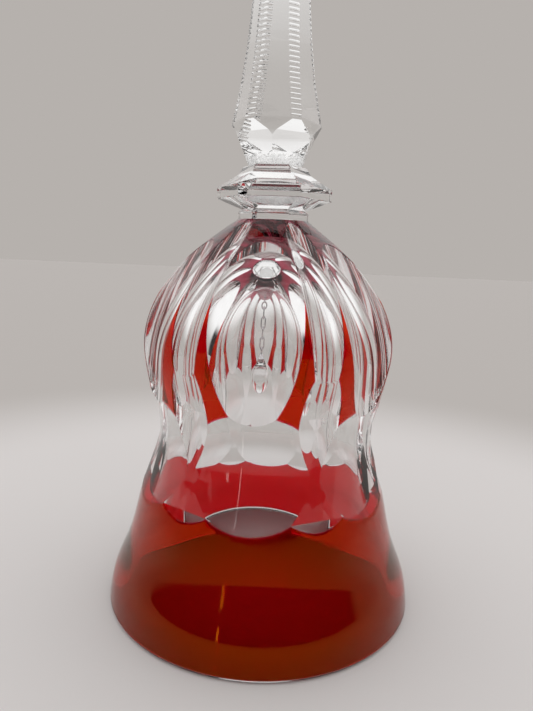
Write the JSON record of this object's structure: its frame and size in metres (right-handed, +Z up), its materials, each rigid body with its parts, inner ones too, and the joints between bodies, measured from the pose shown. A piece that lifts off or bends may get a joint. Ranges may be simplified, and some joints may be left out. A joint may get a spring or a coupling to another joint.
{
  "type": "table bell",
  "caption": "Cut-crystal table bell with a ruby-cased skirt and shoulder panels, hexagonal knop and spire handle, and a glass clapper on a short chain inside.",
  "frame": {"origin": "centre of the rim, on the plane that the bell stands on", "axes": "+Z up the bell axis to the handle tip; -Y faces the middle of one oval cut"},
  "size_m": [0.096, 0.096, 0.216],
  "materials": {
    "clear_crystal": "polished cut lead crystal",
    "ruby_casing": "polished ruby casing with an amber lustre",
    "clear_cement": "clear, slightly crackled",
    "bright_wire": "bright stainless wire"
  },
  "bodies": {
    "bell": {"crystal_bell": "clear_crystal", "ruby_skirt": "ruby_casing", "ruby_crown_1": "ruby_casing", "ruby_crown_2": "ruby_casing", "ruby_crown_3": "ruby_casing", "ruby_crown_4": "ruby_casing", "ruby_crown_5": "ruby_casing", "ruby_crown_6": "ruby_casing", "ruby_panel_1_left": "ruby_casing", "ruby_panel_1_right": "ruby_casing", "ruby_panel_2_left": "ruby_casing", "ruby_panel_2_right": "ruby_casing", "ruby_panel_3_left": "ruby_casing", "ruby_panel_3_right": "ruby_casing", "ruby_panel_4_left": "ruby_casing", "ruby_panel_4_right": "ruby_casing", "ruby_panel_5_left": "ruby_casing", "ruby_panel_5_right": "ruby_casing", "ruby_panel_6_left": "ruby_casing", "ruby_panel_6_right": "ruby_casing", "knop": "clear_crystal", "handle": "clear_crystal", "hanger_plug": "clear_cement", "hanger_eye": "bright_wire"},
    "link_1": {"link_1": "bright_wire"},
    "link_2": {"link_2": "bright_wire"},
    "link_3": {"link_3": "bright_wire"},
    "link_4": {"link_4": "bright_wire"},
    "clapper": {"clapper_cap": "bright_wire", "clapper_drop": "clear_crystal"}
  },
  "joints": [
    {"name": "chain_hinge_1", "type": "hinge", "parent": "bell", "child": "link_1", "pos_m": [0, 0, 0.0953], "axis": [1, 0, 0], "range_deg": [-26, 26]},
    {"name": "chain_hinge_2", "type": "hinge", "parent": "link_1", "child": "link_2", "pos_m": [0, 0, 0.09126], "axis": [0, 1, 0], "range_deg": [-26, 26]},
    {"name": "chain_hinge_3", "type": "hinge", "parent": "link_2", "child": "link_3", "pos_m": [0, 0, 0.08722], "axis": [1, 0, 0], "range_deg": [-10, 10]},
    {"name": "chain_hinge_4", "type": "hinge", "parent": "link_3", "child": "link_4", "pos_m": [0, 0, 0.08318], "axis": [0, 1, 0], "range_deg": [-10, 10]},
    {"name": "chain_hinge_5", "type": "hinge", "parent": "link_4", "child": "clapper", "pos_m": [0, 0, 0.07914], "axis": [1, 0, 0], "range_deg": [-10, 10]}
  ]
}
